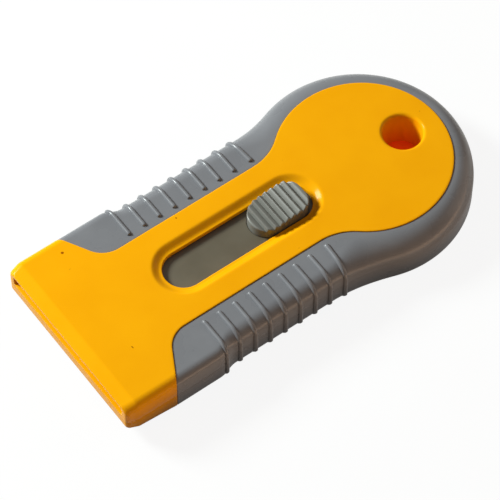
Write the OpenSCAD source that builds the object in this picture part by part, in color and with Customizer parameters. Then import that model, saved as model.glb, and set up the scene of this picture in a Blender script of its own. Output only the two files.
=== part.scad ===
// Pocket razor blade scraper: two shells with soft grips, a sliding carrier and a thumb button.
// It lies on its underside, with +X towards the blade's mouth and +Y to the left of the button.
// Places along the body are given as t, counted back from the mouth; depths count down from the top face.

/* [Body] */
// Length from the mouth to the rear end
body_l = 101; // [100:0.5:105]
// Thickness, without the thumb button
body_t = 10.4; // [10.2:0.1:12]
// Radius of the round rear end, seen from above
head_r = 24.8; // [24:0.1:26]
// Width across the grips between the ribs
waist_w = 41.8; // [41:0.1:43]
// Length of the flare from the waist to the middle of the round rear end
flare_l = 23; // [20:0.5:26]
// How far the blade's chamber reaches past the straight sides of the housing
housing_lap = 0.225; // [0:0.025:0.3]
// Length over which the housing narrows to the waist
shoulder_l = 4.5; // [3:0.5:6]
// Thickness of the plate over the slide
top_wall = 1.9; // [1.8:0.05:2.1]
// Thickness of the floor
floor_wall = 1.8; // [1.4:0.1:2.2]
// Thickness of the housing's side walls
side_wall = 1.2; // [1:0.05:1.5]

/* [Nose] */
// Length of the taper at the mouth
nose_l = 2.75; // [2:0.05:3.5]
// Fall of the top face over the taper
nose_drop = 0.8; // [0.5:0.05:1]
// How much the taper narrows each side
nose_side = 0.9; // [0.5:0.05:1.2]
// Depth of the mouth face's lower edge below the top face
nose_low = 7.3; // [6.5:0.1:7.6]
// Distance from the rising underside to the grips behind it
relief_gap = 0.4; // [0.4:0.1:3]
// Rise of the underside where it meets the nose taper
relief_h = 1.6; // [1:0.1:2.2]
// Thickness of the lips around the mouth
lip_l = 1.6; // [1.2:0.1:2]

/* [Edges] */
// Rounding of the housing's upper side edges
housing_round = 2; // [1.5:0.1:2.2]
// Rounding of the upper side edges at the waist
waist_round = 3.1; // [2.5:0.1:3.4]
// Height of the rounding at the rear end
head_round_h = 5; // [4:0.1:5]
// Rounding of the lower edges
low_round = 1.5; // [1:0.1:3]

/* [Face] */
// Width of the hard face outside the front screws
neck_wall = 0.45; // [0.3:0.05:1.5]
// Width of the soft rim beside the round face
side_rim = 5.4; // [5:0.05:6.2]
// Width of the soft rim behind the round face
rear_rim = 4.3; // [3.8:0.05:4.8]
// Length over which the neck widens, up to the middle of the round face
fan_l = 20.8; // [19:0.1:23]
// Length of the neck in front of the shoulders
neck_lead = 2; // [1:0.1:3]
// Length of the grips' slanted front end, measured in from the side
grip_front_in = 2.6; // [2.6:0.1:3]
// Slope of the grip's slanted front edge, in degrees
slant = 61; // [50:1:65]
// Radius between the slanted edge and the neck
slant_r = 6; // [5:0.5:7]

/* [Grips] */
// Thickness of the grips over the top and the underside
grip_flat = 1.2; // [1:0.05:1.3]
// Thickness of the grips at the sides
grip_side = 1.2; // [1:0.05:1.4]
// Depth of the step in the shell under the grips
grip_step = 2.6; // [2.4:0.1:3]
// Distance between ribs
rib_pitch = 3.9; // [3:0.05:5]
// Distance of the first rib behind the start of the shoulder
rib_lead = 1.8; // [1:0.1:3]
// Least distance of the last rib from the round rear end
rib_rear = 10.5; // [9:0.1:14]
// Width of a rib at its foot
rib_w = 1.05; // [1:0.05:1.6]
// Width of a rib at its crest
rib_crest = 0.45; // [0.4:0.05:0.8]
// Height of a rib
rib_h = 0.45; // [0.4:0.05:0.8]
// Distance of the ribs' inner ends from the hard face
rib_inset = 1.55; // [1:0.05:2.5]

/* [Slot] */
// Distance of the thumb slot behind the wall of the blade's chamber
slot_lead = 0.275; // [0.1:0.025:1]
// Distance between the thumb slot and the hang hole
slot_gap = 21; // [19:0.1:24]
// Width of the thumb slot
slot_w = 9.3; // [8.6:0.05:10]
// Width of the dished rim around the slot
dish_w = 2.25; // [1.8:0.05:2.6]
// Depth of the dished rim
dish_d = 1; // [0.7:0.05:1.1]

/* [Hang hole] */
// Radius of the hang hole
hole_r = 4.4; // [4:0.05:4.5]
// Distance of the hole's centre from the rear end
hole_rear = 13.1; // [12.4:0.1:13.2]
// Width of the chamfer around the hole
hole_chamfer = 0.7; // [0.4:0.05:0.9]
// Wall of the collar around the hole
collar_wall = 1.2; // [1:0.05:1.4]

/* [Blade] */
// Length of the cutting edge of a standard single-edge blade
blade_w = 38.1; // [37.9:0.1:38.3]
// Depth of the blade from its edge to its back
blade_d = 19.05; // [18.9:0.05:19.2]
// Thickness of the blade
blade_th = 0.25; // [0.2:0.01:0.3]
// Length of the ground edge
edge_l = 1.2; // [0.8:0.1:1.6]
// Depth of the folded spine along the blade's back
spine_d = 5.5; // [5:0.1:6]
// Thickness of the folded spine
spine_th = 1.1; // [0.9:0.05:1.2]
// Distance of the edge behind the mouth when the blade is drawn in
edge_t = 2; // [1.9:0.05:2.1]
// Radius of the notches in the blade's ends
notch_r = 1.45; // [1.3:0.05:1.6]
// Distance of the notches from the edge
notch_t = 10; // [9.5:0.1:10.5]

/* [Carrier] */
// How far the tongue reaches under each side of the slot
tongue_lap = 1.95; // [1.5:0.05:2.4]
// Thickness of the carrier's floor under the blade's spine
carrier_floor = 0.55; // [0.5:0.05:0.6]
// Distance from the carrier's front end to the notch's middle
peg_front = 1.5; // [1.4:0.1:2]
// Thickness of the wall behind the blade's spine
back_wall = 1.7; // [1.4:0.1:1.8]
// Depth of the pocket that the button sinks into
pocket_d = 1.15; // [1.1:0.05:1.2]
// Thickness of the pocket's floor
pocket_floor = 1.1; // [1:0.05:1.2]

/* [Button] */
// Length of the thumb button
button_l = 13.8; // [13.2:0.1:14.2]
// Height of the button's crown above the top face
button_h = 1.75; // [1.4:0.05:2]
// Height of the button's front end above the top face
button_front_h = 0.3; // [0.1:0.05:0.6]
// Corner radius of the button's rear end
button_rear_r = 3.4; // [2.8:0.1:3.6]
// Distance between the button's grooves
groove_pitch = 1.6; // [1.5:0.05:1.8]
// Number of grooves across the button
groove_count = 7; // [5:1:7]
// Depth of a groove
groove_d = 0.4; // [0.3:0.05:0.5]
// Length of the button's stem
stem_l = 8; // [7:0.1:9]
// Width of the button's stem
stem_w = 4; // [3.6:0.1:4.4]
// How far the button can be pressed
press = 0.9; // [0.8:0.05:0.95]

/* [Lock spring] */
// Thickness of the spring strip
spring_th = 0.3; // [0.25:0.05:0.4]
// Width of the spring strip
spring_w = 4; // [3.6:0.1:4.4]
// Length of the spring's slopes between its ends and its middle
slope_l = 1.2; // [0.8:0.1:1.6]
// Width of the lock arms
arm_w = 3; // [2.4:0.1:3.2]
// Height of the lock teeth at the arms' ends
tooth_h = 0.6; // [0.5:0.05:0.7]

/* [Screws] */
// Radius of the screws' shanks
screw_r = 1; // [0.9:0.05:1.1]
// Radius of the screws' heads
screw_head_r = 1.95; // [1.8:0.05:2]
// Height of the screws' heads
screw_head_h = 1.2; // [1:0.05:1.3]
// Distance of the screws' tips below the top face
screw_tip_d = 3.3; // [3:0.1:3.6]
// Front pair: distance of their posts behind the wall of the blade's chamber
screw_lead = 0.475; // [0.3:0.025:1]
// Rear pair: distance from the edge of the round face
screw_rim = 5; // [4:0.1:6]
// Rear pair: direction from the middle of the round face, in degrees off the middle line
screw_angle = 60; // [55:1:70]

/* [Clearances] */
// Gap above and below what slides
lift_gap = 0.25; // [0.2:0.05:0.3]
// Gap beside the carrier's tongue and the thumb button
side_gap = 0.3; // [0.25:0.05:0.4]
// Gap beside the blade in its housing
blade_gap = 0.55; // [0.4:0.05:0.7]
// Gap at each end of the button's travel
end_gap = 1.5; // [1:0.1:1.8]
// Gap around the button, its stem and its hooks
button_gap = 0.15; // [0.1:0.01:0.2]
// Gap around a screw or a peg
pin_gap = 0.05; // [0.03:0.01:0.1]

/* [Hidden] */
$fn = 96;
yellow = [0.92, 0.64, 0.07];
grip_grey = [0.42, 0.42, 0.41];
slide_grey = [0.38, 0.37, 0.35];
steel = [0.75, 0.76, 0.78];

// Cuts run past the faces that they open by this much, and joined pieces sink in by half of it
over = 1;
// Least gap where two pieces meet without a fit
part_gap = 0.1;
front_x = body_l / 2;
mid_d = body_t / 2;
floor_d = body_t - floor_wall;

// Blade, spine and carrier, as a stack of depths under the top plate
housing_half = blade_w / 2 + blade_gap + side_wall + grip_side;
cavity_half = blade_w / 2 + blade_gap;
waist_half = waist_w / 2;
slide_top_d = top_wall + lift_gap;
blade_mid_d = slide_top_d + spine_th / 2;
blade_top_d = blade_mid_d - blade_th / 2;
blade_low_d = blade_mid_d + blade_th / 2;
spine_low_d = slide_top_d + spine_th;
carrier_low_d = spine_low_d + carrier_floor;
lip_d = carrier_low_d + lift_gap;
blade_back_t = edge_t + blade_d;
spine_wall = (spine_th - blade_th) / 2;
spine_back_t = blade_back_t + spine_wall;
carrier_front_t = edge_t + notch_t - peg_front;
carrier_back_t = spine_back_t + back_wall;
cavity_back_t = carrier_back_t + blade_gap;
hollow_front_t = cavity_back_t + side_wall;
housing_l = cavity_back_t - housing_lap;
peg_r = notch_r - button_gap;
carrier_half = cavity_half - blade_gap - button_gap;
notch_y = carrier_half - peg_r - pin_gap;

// Hang hole, and the tongue's rear end in front of it
hole_t = body_l - hole_rear;
collar_r = hole_r + collar_wall;
tongue_end_t = hole_t - collar_r - side_gap;

// Thumb slot, button and travel
slot_half = slot_w / 2;
slot_front_t = hollow_front_t + slot_lead;
slot_rear_t = hole_t - hole_r - slot_gap;
tongue_half = slot_half + tongue_lap;
button_w = slot_w - 2 * side_gap;
travel = slot_rear_t - slot_front_t - button_l - 2 * end_gap;
button_rear_t = slot_rear_t - end_gap;
button_front_t = button_rear_t - button_l;
button_t = (button_front_t + button_rear_t) / 2;
pocket_low_d = slide_top_d + pocket_d;
boss_low_d = pocket_low_d + pocket_floor;
skirt_d = pocket_low_d - press - button_gap / 2;
hook_d = boss_low_d + pin_gap;
hook_h = 0.5;
hook_l = 0.6;
spring_d = hook_d + hook_h;
clip_l = 0.6;
clip_h = 0.45;
clip_reach = 1;
pad_l = 2;
spring_half_l = stem_l / 2 + hook_l + slope_l + pad_l;
boss_half_l = spring_half_l + clip_l;

// Guide ribs under the top plate, with a notch for the lock teeth at each stop
guide_in = tongue_half + side_gap;
guide_wall = 1.2;
guide_low_d = mid_d - part_gap;
tooth_w = 0.9;
arm_half = guide_in + guide_wall - lift_gap;
notch_gap = 0.3;
stops = [0, travel / 2, travel];

// Rails that the carrier runs on, by the places of their inner sides
rail_w = 1.5;
rail_in_y = 4;
rail_out_y = 13;

// Screw posts
post_r = 2.2;
post_wall = 0.4;
post_lap = 0.8;
post_d = mid_d + post_lap;
screw_sunk = 0.15;
seat_d = body_t - screw_sunk - screw_head_h;
shank_gap = 0.2;
head_gap = 0.1;
recess_l = 2.4;
recess_w = 0.5;
screw_front_t = hollow_front_t + screw_lead + post_wall + post_r;
screw_front_y = guide_in + button_gap + post_r;

// Plan outline of one side: straight housing, shoulder, waist, hollow arc and round rear end
head_t = body_l - head_r;
waist_end_t = head_t - flare_l;
waist_r = (pow(flare_l, 2) + pow(waist_half, 2) - pow(head_r, 2)) / (2 * (head_r - waist_half));
join_a = atan(flare_l / (waist_half + waist_r));
join_t = head_t - head_r * sin(join_a);

// Outline of the hard face: slanted edge, arc, neck, hollow arc and round end
neck_half = screw_front_y + screw_head_r + head_gap + neck_wall;
face_r = head_r - side_rim;
face_t = body_l - rear_rim - face_r;
neck_end_t = face_t - fan_l;
neck_r = (pow(fan_l, 2) + pow(neck_half, 2) - pow(face_r, 2)) / (2 * (face_r - neck_half));
neck_join_t = face_t - face_r * fan_l / (face_r + neck_r);
neck_start_t = housing_l - neck_lead;
slant_y = housing_half - grip_front_in;
slant_end_y = neck_half + slant_r * (1 - cos(slant));
slant_end_t = neck_start_t - slant_r * sin(slant);
grip_front_t = slant_end_t - (slant_y - slant_end_y) / tan(slant);
side_front_t = grip_front_t - grip_front_in / tan(slant);
relief_t = side_front_t - relief_gap;

// Screws: one pair beside the guide ribs and one inside the round face
screw_out = face_r - screw_rim;
screws = [for (y = [1, -1])
    each [[screw_front_t, y * screw_front_y],
          [face_t - screw_out * cos(screw_angle), y * screw_out * sin(screw_angle)]]];

function ease(u) = let (c = max(0, min(1, u))) c * c * (3 - 2 * c);
function mix(a, b, u) = a + (b - a) * u;

// Half width of the outline up to the round rear end, and the angle of the hollow arc there
function shoulder_u(t) = (t - housing_l) / shoulder_l;
function half_width(t) =
    t < waist_end_t ? mix(housing_half, waist_half, ease(shoulder_u(t)))
                    : waist_half + waist_r * (1 - cos(arc_angle(t)));
function arc_angle(t) = t < waist_end_t ? 0 : asin((t - waist_end_t) / waist_r);

// Half width of the hard face in front of the waist
function face_half(t) =
    t < slant_end_t ? slant_y - (t - grip_front_t) * tan(slant)
    : t < neck_start_t ? neck_half + slant_r - sqrt(pow(slant_r, 2) - pow(neck_start_t - t, 2))
    : neck_half;

// Distances at which a ray from p along n meets a circle
function ray_mid(p, n, c) = (c - p) * n;
function ray_half(p, n, c, r) =
    sqrt(max(0, r * r - (c - p) * (c - p) + pow(ray_mid(p, n, c), 2)));
function ray_in(p, n, c, r) = ray_mid(p, n, c) - ray_half(p, n, c, r);
function ray_out(p, n, c, r) = ray_mid(p, n, c) + ray_half(p, n, c, r);

// Width of the grip's top from the side p to the hard face, along the inward normal n
function rim_width(p, n) =
    let (line = (neck_half - p.y) / n.y,
         arc = ray_out(p, n, [neck_end_t, neck_half + neck_r], neck_r),
         round = ray_in(p, n, [face_t, 0], face_r))
    p.x < neck_start_t ? p.y - face_half(p.x)
    : p.x < join_t && p.x + line * n.x <= neck_end_t ? line
    : p.x < join_t && p.x + arc * n.x <= neck_join_t ? arc
    : round;

// A station holds its point, inward normal, grip width, edge rounding and rib height
flat_min = 0.4;
head_round = min(head_round_h, mid_d - part_gap);
function station(p, n, rib) =
    let (w = rim_width(p, n),
         waist = mix(housing_round, waist_round, ease(shoulder_u(p.x))),
         u = ease((p.x - waist_end_t) / (join_t - waist_end_t)))
    [p, n, w, mix(waist, w - flat_min, u), mix(waist, head_round, u), rib];
function side_station(t, rib) =
    let (a = arc_angle(t)) station([t, half_width(t)], [sin(a), -cos(a)], rib);
function head_station(a) =
    let (n = [-sin(a), -cos(a)]) station([head_t, 0] - head_r * n, n, 0);

// The first section lies along the slanted edge, so the grips end in one upright plane there
front_station = [[side_front_t, housing_half], [1 / tan(slant), -1], grip_front_in, housing_round,
                 housing_round, 0];

slant_steps = 4;
tail_steps = 4;
head_steps = 16;
rib_offsets = [[-rib_w / 2, 0], [-rib_crest / 2, rib_h], [rib_crest / 2, rib_h], [rib_w / 2, 0],
               [rib_pitch / 2, 0]];
rib_first_t = housing_l + rib_lead;
rib_count = floor((join_t - rib_rear - rib_first_t) / rib_pitch) + 1;
tail_t = rib_first_t + (rib_count - 0.5) * rib_pitch;
near_side = concat(
    [front_station],
    [for (i = [0 : slant_steps])
        side_station(neck_start_t - slant_r * sin(slant * (1 - i / slant_steps)), 0)],
    [side_station(housing_l, 0)],
    [for (i = [0 : rib_count - 1], o = rib_offsets)
        side_station(rib_first_t + i * rib_pitch + o[0], o[1])],
    [for (i = [1 : tail_steps]) side_station(mix(tail_t, join_t, i / tail_steps), 0)],
    [for (i = [1 : head_steps]) head_station(mix(-join_a, 90, i / head_steps))]);
function flip(s) = [[s[0].x, -s[0].y], [s[1].x, -s[1].y], s[2], s[3], s[4], s[5]];
last = len(near_side) - 1;
all_stations = concat(near_side, [for (i = [last - 1 : -1 : 0]) flip(near_side[i])]);

// Where the shell steps in under the grips, further in where the edge is rounder
step_least = 0.95;
function step_in(s) = step_least + s[3] / 2;

// Point of a station's section: v counts inwards from the side, d down from the top face
function place(s, v, d) =
    let (p = s[0] + v * s[1]) [front_x - p.x, p.y, body_t - d];

// Section of the upper grip: top, rounded edge and side, then the stepped face on the shell
rib_end_l = 0.4;
rib_room = waist_half - neck_half - waist_round;
rib_reach = rib_room - rib_inset;
rib_from = (rib_reach + rib_end_l / 2) / rib_room;
rib_to = (rib_reach - rib_end_l / 2) / rib_room;
round_steps = 4;
round_angles = [for (i = [0 : round_steps]) 90 * i / round_steps];
function upper_section(s) =
    let (w = s[2], a = s[3], b = s[4], h = s[5], in = step_in(s))
    concat(
        [place(s, w, 0), place(s, mix(a, w, rib_from), 0), place(s, mix(a, w, rib_to), -h)],
        [for (q = round_angles)
            place(s, a * (1 - sin(q)) - h * sin(q), b * (1 - cos(q)) - h * cos(q))],
        [place(s, -h, mid_d), place(s, grip_side, mid_d), place(s, grip_side, grip_step),
         place(s, in, grip_step), place(s, in, grip_flat), place(s, w, grip_flat)]);

// Section of the lower grip: the ribs run out into the lower edge and stay off the ground
function lower_section(s) =
    let (w = s[2], a = min(low_round, w - part_gap), h = s[5], in = step_in(s))
    concat(
        [place(s, w, body_t), place(s, w, body_t - grip_flat), place(s, in, body_t - grip_flat),
         place(s, in, body_t - grip_step), place(s, grip_side, body_t - grip_step),
         place(s, grip_side, mid_d), place(s, -h, mid_d)],
        [for (i = [round_steps : -1 : 0])
            let (q = round_angles[i])
            place(s, a * (1 - sin(q)) - h * sin(q) * q / 90, body_t - a * (1 - cos(q)))]);

// Triangles that close the ends of the grips, by their places in the section
upper_cap = [[0, 1, 13], [1, 2, 13], [2, 3, 13], [3, 12, 13], [3, 4, 12], [4, 5, 12],
             [5, 6, 12], [6, 11, 12], [6, 10, 11], [6, 7, 10], [7, 9, 10], [7, 8, 9]];
lower_cap = [[0, 1, 11], [1, 2, 11], [2, 10, 11], [2, 9, 10], [2, 8, 9], [2, 3, 8],
             [3, 4, 8], [4, 7, 8], [4, 5, 7], [5, 6, 7]];

// Skin through a row of closed sections, with a cap at each end
module loft(sections, cap) {
    n = len(sections[0]);
    m = len(sections);
    points = [for (s = sections, p = s) p];
    sides = [for (i = [0 : m - 2], j = [0 : n - 1])
        let (k = (j + 1) % n)
        each [[i * n + j, (i + 1) * n + k, i * n + k], [i * n + j, (i + 1) * n + j, (i + 1) * n + k]]];
    far_cap = [for (c = cap) [for (j = [2, 1, 0]) (m - 1) * n + c[j]]];
    polyhedron(points, concat(sides, cap, far_cap));
}

// Plan shapes through the stations, all starting a little in front of the grips
lap = 1;
function ring(vs) =
    let (ps = [for (i = [0 : len(all_stations) - 1]) all_stations[i][0] + vs[i] * all_stations[i][1]])
    concat([[ps[0].x - lap, ps[0].y]], ps, [[ps[0].x - lap, -ps[0].y]]);
module plan(points) {
    polygon([for (p = points) [front_x - p.x, p.y]]);
}
module face_plan() {
    plan(ring([for (s = all_stations) s[2]]));
}
module step_plan() {
    plan(ring([for (s = all_stations) step_in(s)]));
}
module wall_plan() {
    plan(ring([for (s = all_stations) grip_side]));
}
module hollow_plan() {
    intersection() {
        plan(ring([for (s = all_stations) step_in(s) + side_wall]));
        translate([front_x - body_l, -head_r])
            square([body_l - hollow_front_t, 2 * head_r]);
    }
}

// Layer of a plan shape between two depths
module layer(d0, d1) {
    translate([0, 0, body_t - d1])
        linear_extrude(d1 - d0)
            children();
}

// Block between two places, two sides and two depths
module block(t0, t1, y0, y1, d0, d1) {
    translate([front_x - t1, y0, body_t - d1])
        cube([t1 - t0, y1 - y0, d1 - d0]);
}
module both_sides(t0, t1, y0, y1, d0, d1) {
    block(t0, t1, y0, y1, d0, d1);
    block(t0, t1, -y1, -y0, d0, d1);
}

// Upright round bar or hole
module bar(t, y, r, d0, d1) {
    translate([front_x - t, y, body_t - d1])
        cylinder(h = d1 - d0, r = r);
}

// Side view shape, given as places and depths, carried across the body
module across(points, half) {
    translate([0, half, 0])
        rotate([90, 0, 0])
            linear_extrude(2 * half)
                polygon([for (p = points) [front_x - p.x, body_t - p.y]]);
}

// Front view of the housing with its rounded edges, carried back to the grips
module front_view(r, top) {
    edge_y = housing_half - r;
    level = top ? body_t - r : r;
    translate([edge_y, level])
        circle(r);
    translate([-edge_y, level])
        circle(r);
    translate([-edge_y, top ? mid_d : 0])
        square([2 * edge_y, mid_d]);
    translate([-housing_half, top ? mid_d : r])
        square([2 * housing_half, mid_d - r]);
}
module front_block(r, top) {
    intersection() {
        translate([front_x - grip_front_t, 0, 0])
            rotate([90, 0, 90])
                linear_extrude(grip_front_t)
                    front_view(r, top);
        layer(-over, body_t + over)
            plan([[0, housing_half - nose_side], [nose_l, housing_half], [side_front_t, housing_half],
                  [grip_front_t, slant_y], [grip_front_t, -slant_y], [side_front_t, -housing_half],
                  [nose_l, -housing_half], [0, nose_side - housing_half]]);
    }
}

// Stadium-shaped cut along the slot, widening upwards by the flare
module stadium(t0, t1, half, spread, d0, d1) {
    for (t = [t0, t1])
        translate([front_x - t, 0, body_t - d1])
            cylinder(h = d1 - d0, r1 = half, r2 = half + spread);
    translate([front_x - t1, 0, body_t])
        rotate([90, 0, 90])
            linear_extrude(t1 - t0)
                polygon([[-half - spread, -d0], [half + spread, -d0], [half, -d1], [-half, -d1]]);
}

// Chamfered hang hole, from a shell's outer face to the middle
module hang_hole(top) {
    cone_d = top ? 0 : body_t - hole_chamfer;
    bar(hole_t, 0, hole_r, -over, body_t + over);
    translate([front_x - hole_t, 0, body_t - cone_d - hole_chamfer])
        cylinder(h = hole_chamfer, r1 = hole_r + (top ? 0 : hole_chamfer),
                 r2 = hole_r + (top ? hole_chamfer : 0));
}

module upper_shell() color(yellow) {
    difference() {
        union() {
            difference() {
                union() {
                    front_block(housing_round, true);
                    layer(0, grip_flat) face_plan();
                    layer(grip_flat, grip_step) step_plan();
                    layer(grip_step, mid_d) wall_plan();
                }
                layer(top_wall, mid_d + over) hollow_plan();
                block(lip_l, cavity_back_t, -cavity_half, cavity_half, top_wall, mid_d + over);
                block(cavity_back_t - over, hollow_front_t + over, -guide_in, guide_in, top_wall,
                      mid_d + over);
            }
            for (y = [guide_in, -guide_in - guide_wall])
                block(cavity_back_t, tongue_end_t, y, y + guide_wall, top_wall - over / 2, guide_low_d);
            for (s = screws)
                bar(s[0], s[1], post_r, top_wall - over / 2, post_d);
            bar(hole_t, 0, collar_r, top_wall - over / 2, mid_d);
        }
        for (s = stops)
            block(button_t - s - arm_w / 2 - notch_gap, button_t - s + arm_w / 2 + notch_gap,
                  -guide_in - guide_wall - over, guide_in + guide_wall + over,
                  spring_d - tooth_h - lift_gap / 2, mid_d + over);
        block(-over, lip_l + over, -cavity_half, cavity_half, top_wall - lift_gap, mid_d + over);
        across([[-over, -over], [nose_l, -over], [nose_l, 0], [0, nose_drop], [-over, nose_drop]],
               housing_half + over);
        stadium(slot_front_t + slot_half, slot_rear_t - slot_half, slot_half, 0, -over, top_wall + over);
        stadium(slot_front_t + slot_half, slot_rear_t - slot_half, slot_half, dish_w, 0, dish_d);
        for (s = screws)
            bar(s[0], s[1], screw_r + pin_gap, screw_tip_d - pin_gap, post_d + over);
        hang_hole(true);
    }
}

module lower_shell() color(yellow) {
    nose_floor_d = body_t - relief_h - floor_wall;
    difference() {
        union() {
            difference() {
                union() {
                    front_block(low_round, false);
                    layer(mid_d, body_t - grip_step) wall_plan();
                    layer(body_t - grip_step, body_t - grip_flat) step_plan();
                    layer(body_t - grip_flat, body_t) face_plan();
                }
                layer(mid_d - over, floor_d) hollow_plan();
                block(lip_l, cavity_back_t, -cavity_half, cavity_half, mid_d - over, nose_floor_d);
            }
            block(0, lip_l, -cavity_half + pin_gap, cavity_half - pin_gap, lip_d, mid_d + over / 2);
            for (y = [rail_in_y, rail_out_y])
                both_sides(lip_l - over / 2, cavity_back_t - side_gap, y, y + rail_w, lip_d,
                           nose_floor_d + over / 2);
            both_sides(button_t + boss_half_l + side_gap, tongue_end_t - over / 2,
                       rail_in_y, rail_in_y + rail_w, lip_d, floor_d + over / 2);
            for (s = screws)
                bar(s[0], s[1], post_r + post_wall, post_d, floor_d + over / 2);
            bar(hole_t, 0, collar_r, mid_d, floor_d + over / 2);
        }
        across([[-over, body_t + over], [relief_t, body_t + over], [relief_t, body_t],
                [nose_l, body_t - relief_h], [0, nose_low], [-over, nose_low]], housing_half + over);
        for (s = screws) {
            bar(s[0], s[1], screw_r + shank_gap, post_d - over, body_t);
            bar(s[0], s[1], screw_head_r + head_gap, seat_d, body_t + over);
        }
        hang_hole(false);
    }
}

module upper_grip() color(grip_grey) {
    loft([for (s = all_stations) upper_section(s)], upper_cap);
}

module lower_grip() color(grip_grey) {
    loft([for (s = all_stations) lower_section(s)], lower_cap);
}

// Button outline seen from above: half-round front and softly cornered rear
module button_plan(grow) {
    half = button_w / 2 + grow;
    corner = button_rear_r + grow;
    rear = front_x - button_rear_t - grow;
    front = front_x - button_front_t + grow;
    translate([front - half, 0])
        circle(half);
    for (y = [corner - half, half - corner])
        translate([rear + corner, y])
            circle(corner);
    translate([rear + corner, -half])
        square([front - half - rear - corner, 2 * half]);
    translate([rear, corner - half])
        square([corner, 2 * (half - corner)]);
}

module blade_carrier() color(slide_grey) {
    boss_half_w = tongue_half - side_gap;
    difference() {
        union() {
            block(carrier_front_t, carrier_back_t, -carrier_half, carrier_half, blade_low_d, carrier_low_d);
            block(spine_back_t, carrier_back_t, -carrier_half, carrier_half, slide_top_d, carrier_low_d);
            block(spine_back_t, tongue_end_t, -tongue_half, tongue_half, slide_top_d, carrier_low_d);
            block(button_t - boss_half_l, button_t + boss_half_l, -boss_half_w, boss_half_w,
                  slide_top_d, boss_low_d);
            for (y = [notch_y, -notch_y])
                bar(edge_t + notch_t, y, peg_r, blade_top_d, carrier_low_d);
            for (side = [-1, 1])
                spring_clip(side);
        }
        block(spine_back_t - spine_wall - spine_d, spine_back_t, -cavity_half, cavity_half,
              slide_top_d - over, spine_low_d);
        layer(slide_top_d - over, pocket_low_d) button_plan(button_gap);
        block(button_t - stem_l / 2 - button_gap, button_t + stem_l / 2 + button_gap,
              -stem_w / 2 - button_gap, stem_w / 2 + button_gap, pocket_low_d - over, boss_low_d + over);
    }
}

// Clip at one end of the boss that holds the spring's end up against it
module spring_clip(side) {
    half = spring_w / 2;
    outer = button_t + side * boss_half_l;
    inner = outer - side * clip_l;
    foot = inner - side * clip_reach;
    foot_d = boss_low_d + spring_th + pin_gap;
    block(min(outer, inner), max(outer, inner), -half, half, boss_low_d - over / 2, foot_d + clip_h);
    block(min(outer, foot), max(outer, foot), -half, half, foot_d, foot_d + clip_h);
}

// Thumb button: arched crown with cross grooves, stem through the carrier and two hooks
crown_l = 10.3;
crown_fall = 0.25;
groove_w = 0.5;
function crown(l) =
    l < crown_l ? mix(button_front_h, button_h, sin(90 * l / crown_l))
                : button_h - crown_fall * pow((l - crown_l) / (button_l - crown_l), 2);
module slide_button() color(slide_grey) {
    groove_from = button_t - (groove_count - 1) * groove_pitch / 2;
    arc_steps = 24;
    difference() {
        union() {
            intersection() {
                layer(-button_h - over, skirt_d) button_plan(0);
                across(concat([[button_front_t - over, skirt_d], [button_front_t - over, -button_front_h]],
                              [for (i = [0 : arc_steps])
                                  let (l = button_l * i / arc_steps)
                                  [button_front_t + l, -crown(l)]],
                              [[button_rear_t + over, -crown(button_l)], [button_rear_t + over, skirt_d]]),
                       button_w);
            }
            block(button_t - stem_l / 2, button_t + stem_l / 2, -stem_w / 2, stem_w / 2,
                  skirt_d - over, spring_d);
            block(button_t - stem_l / 2 - hook_l, button_t + stem_l / 2 + hook_l,
                  -stem_w / 2, stem_w / 2, hook_d, spring_d);
        }
        for (i = [0 : groove_count - 1])
            let (t = groove_from + i * groove_pitch,
                 d = -crown(t - button_front_t))
                across([[t - groove_w, d - groove_d], [t - groove_w / 4, d + groove_d],
                        [t + groove_w / 4, d + groove_d], [t + groove_w, d - groove_d]], button_w);
    }
}

// Leaf spring: its ends lie under the boss, its middle carries the stem and two toothed arms
module lock_spring() color(steel) {
    half = spring_half_l;
    flat = half - pad_l - slope_l;
    top = [[button_t - half, boss_low_d], [button_t - half + pad_l, boss_low_d],
           [button_t - flat, spring_d], [button_t + flat, spring_d],
           [button_t + half - pad_l, boss_low_d], [button_t + half, boss_low_d]];
    low = [for (i = [len(top) - 1 : -1 : 0]) top[i] + [0, spring_th]];
    across(concat(top, low), spring_w / 2);
    block(button_t - arm_w / 2, button_t + arm_w / 2, -arm_half, arm_half, spring_d, spring_d + spring_th);
    both_sides(button_t - arm_w / 2, button_t + arm_w / 2, arm_half - tooth_w, arm_half,
               spring_d - tooth_h, spring_d + spring_th);
}

module razor_blade() color(steel) {
    difference() {
        across([[edge_t, blade_mid_d], [edge_t + edge_l, blade_top_d], [blade_back_t, blade_top_d],
                [blade_back_t, blade_low_d], [edge_t + edge_l, blade_low_d]], blade_w / 2);
        for (y = [notch_y, -notch_y])
            bar(edge_t + notch_t, y, notch_r, blade_top_d - over, blade_low_d + over);
        both_sides(edge_t + notch_t - notch_r, edge_t + notch_t + notch_r, notch_y, blade_w / 2 + over,
                   blade_top_d - over, blade_low_d + over);
    }
}

module blade_spine() color(steel) {
    front = spine_back_t - spine_d;
    across([[front, slide_top_d], [spine_back_t, slide_top_d], [spine_back_t, spine_low_d],
            [front, spine_low_d], [front, blade_low_d], [blade_back_t, blade_low_d],
            [blade_back_t, blade_top_d], [front, blade_top_d]], blade_w / 2);
}

module body_screws() color(steel) {
    for (s = screws)
        difference() {
            union() {
                bar(s[0], s[1], screw_r, screw_tip_d, seat_d + screw_head_h / 2);
                bar(s[0], s[1], screw_head_r, seat_d, seat_d + screw_head_h);
            }
            for (a = [0, 90])
                translate([front_x - s[0], s[1], 0])
                    rotate(a)
                        translate([-recess_l / 2, -recess_w / 2, -over])
                            cube([recess_l, recess_w, body_t - seat_d - screw_head_h / 2 + over]);
        }
}

upper_shell();
lower_shell();
upper_grip();
lower_grip();
blade_carrier();
slide_button();
lock_spring();
razor_blade();
blade_spine();
body_screws();
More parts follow.
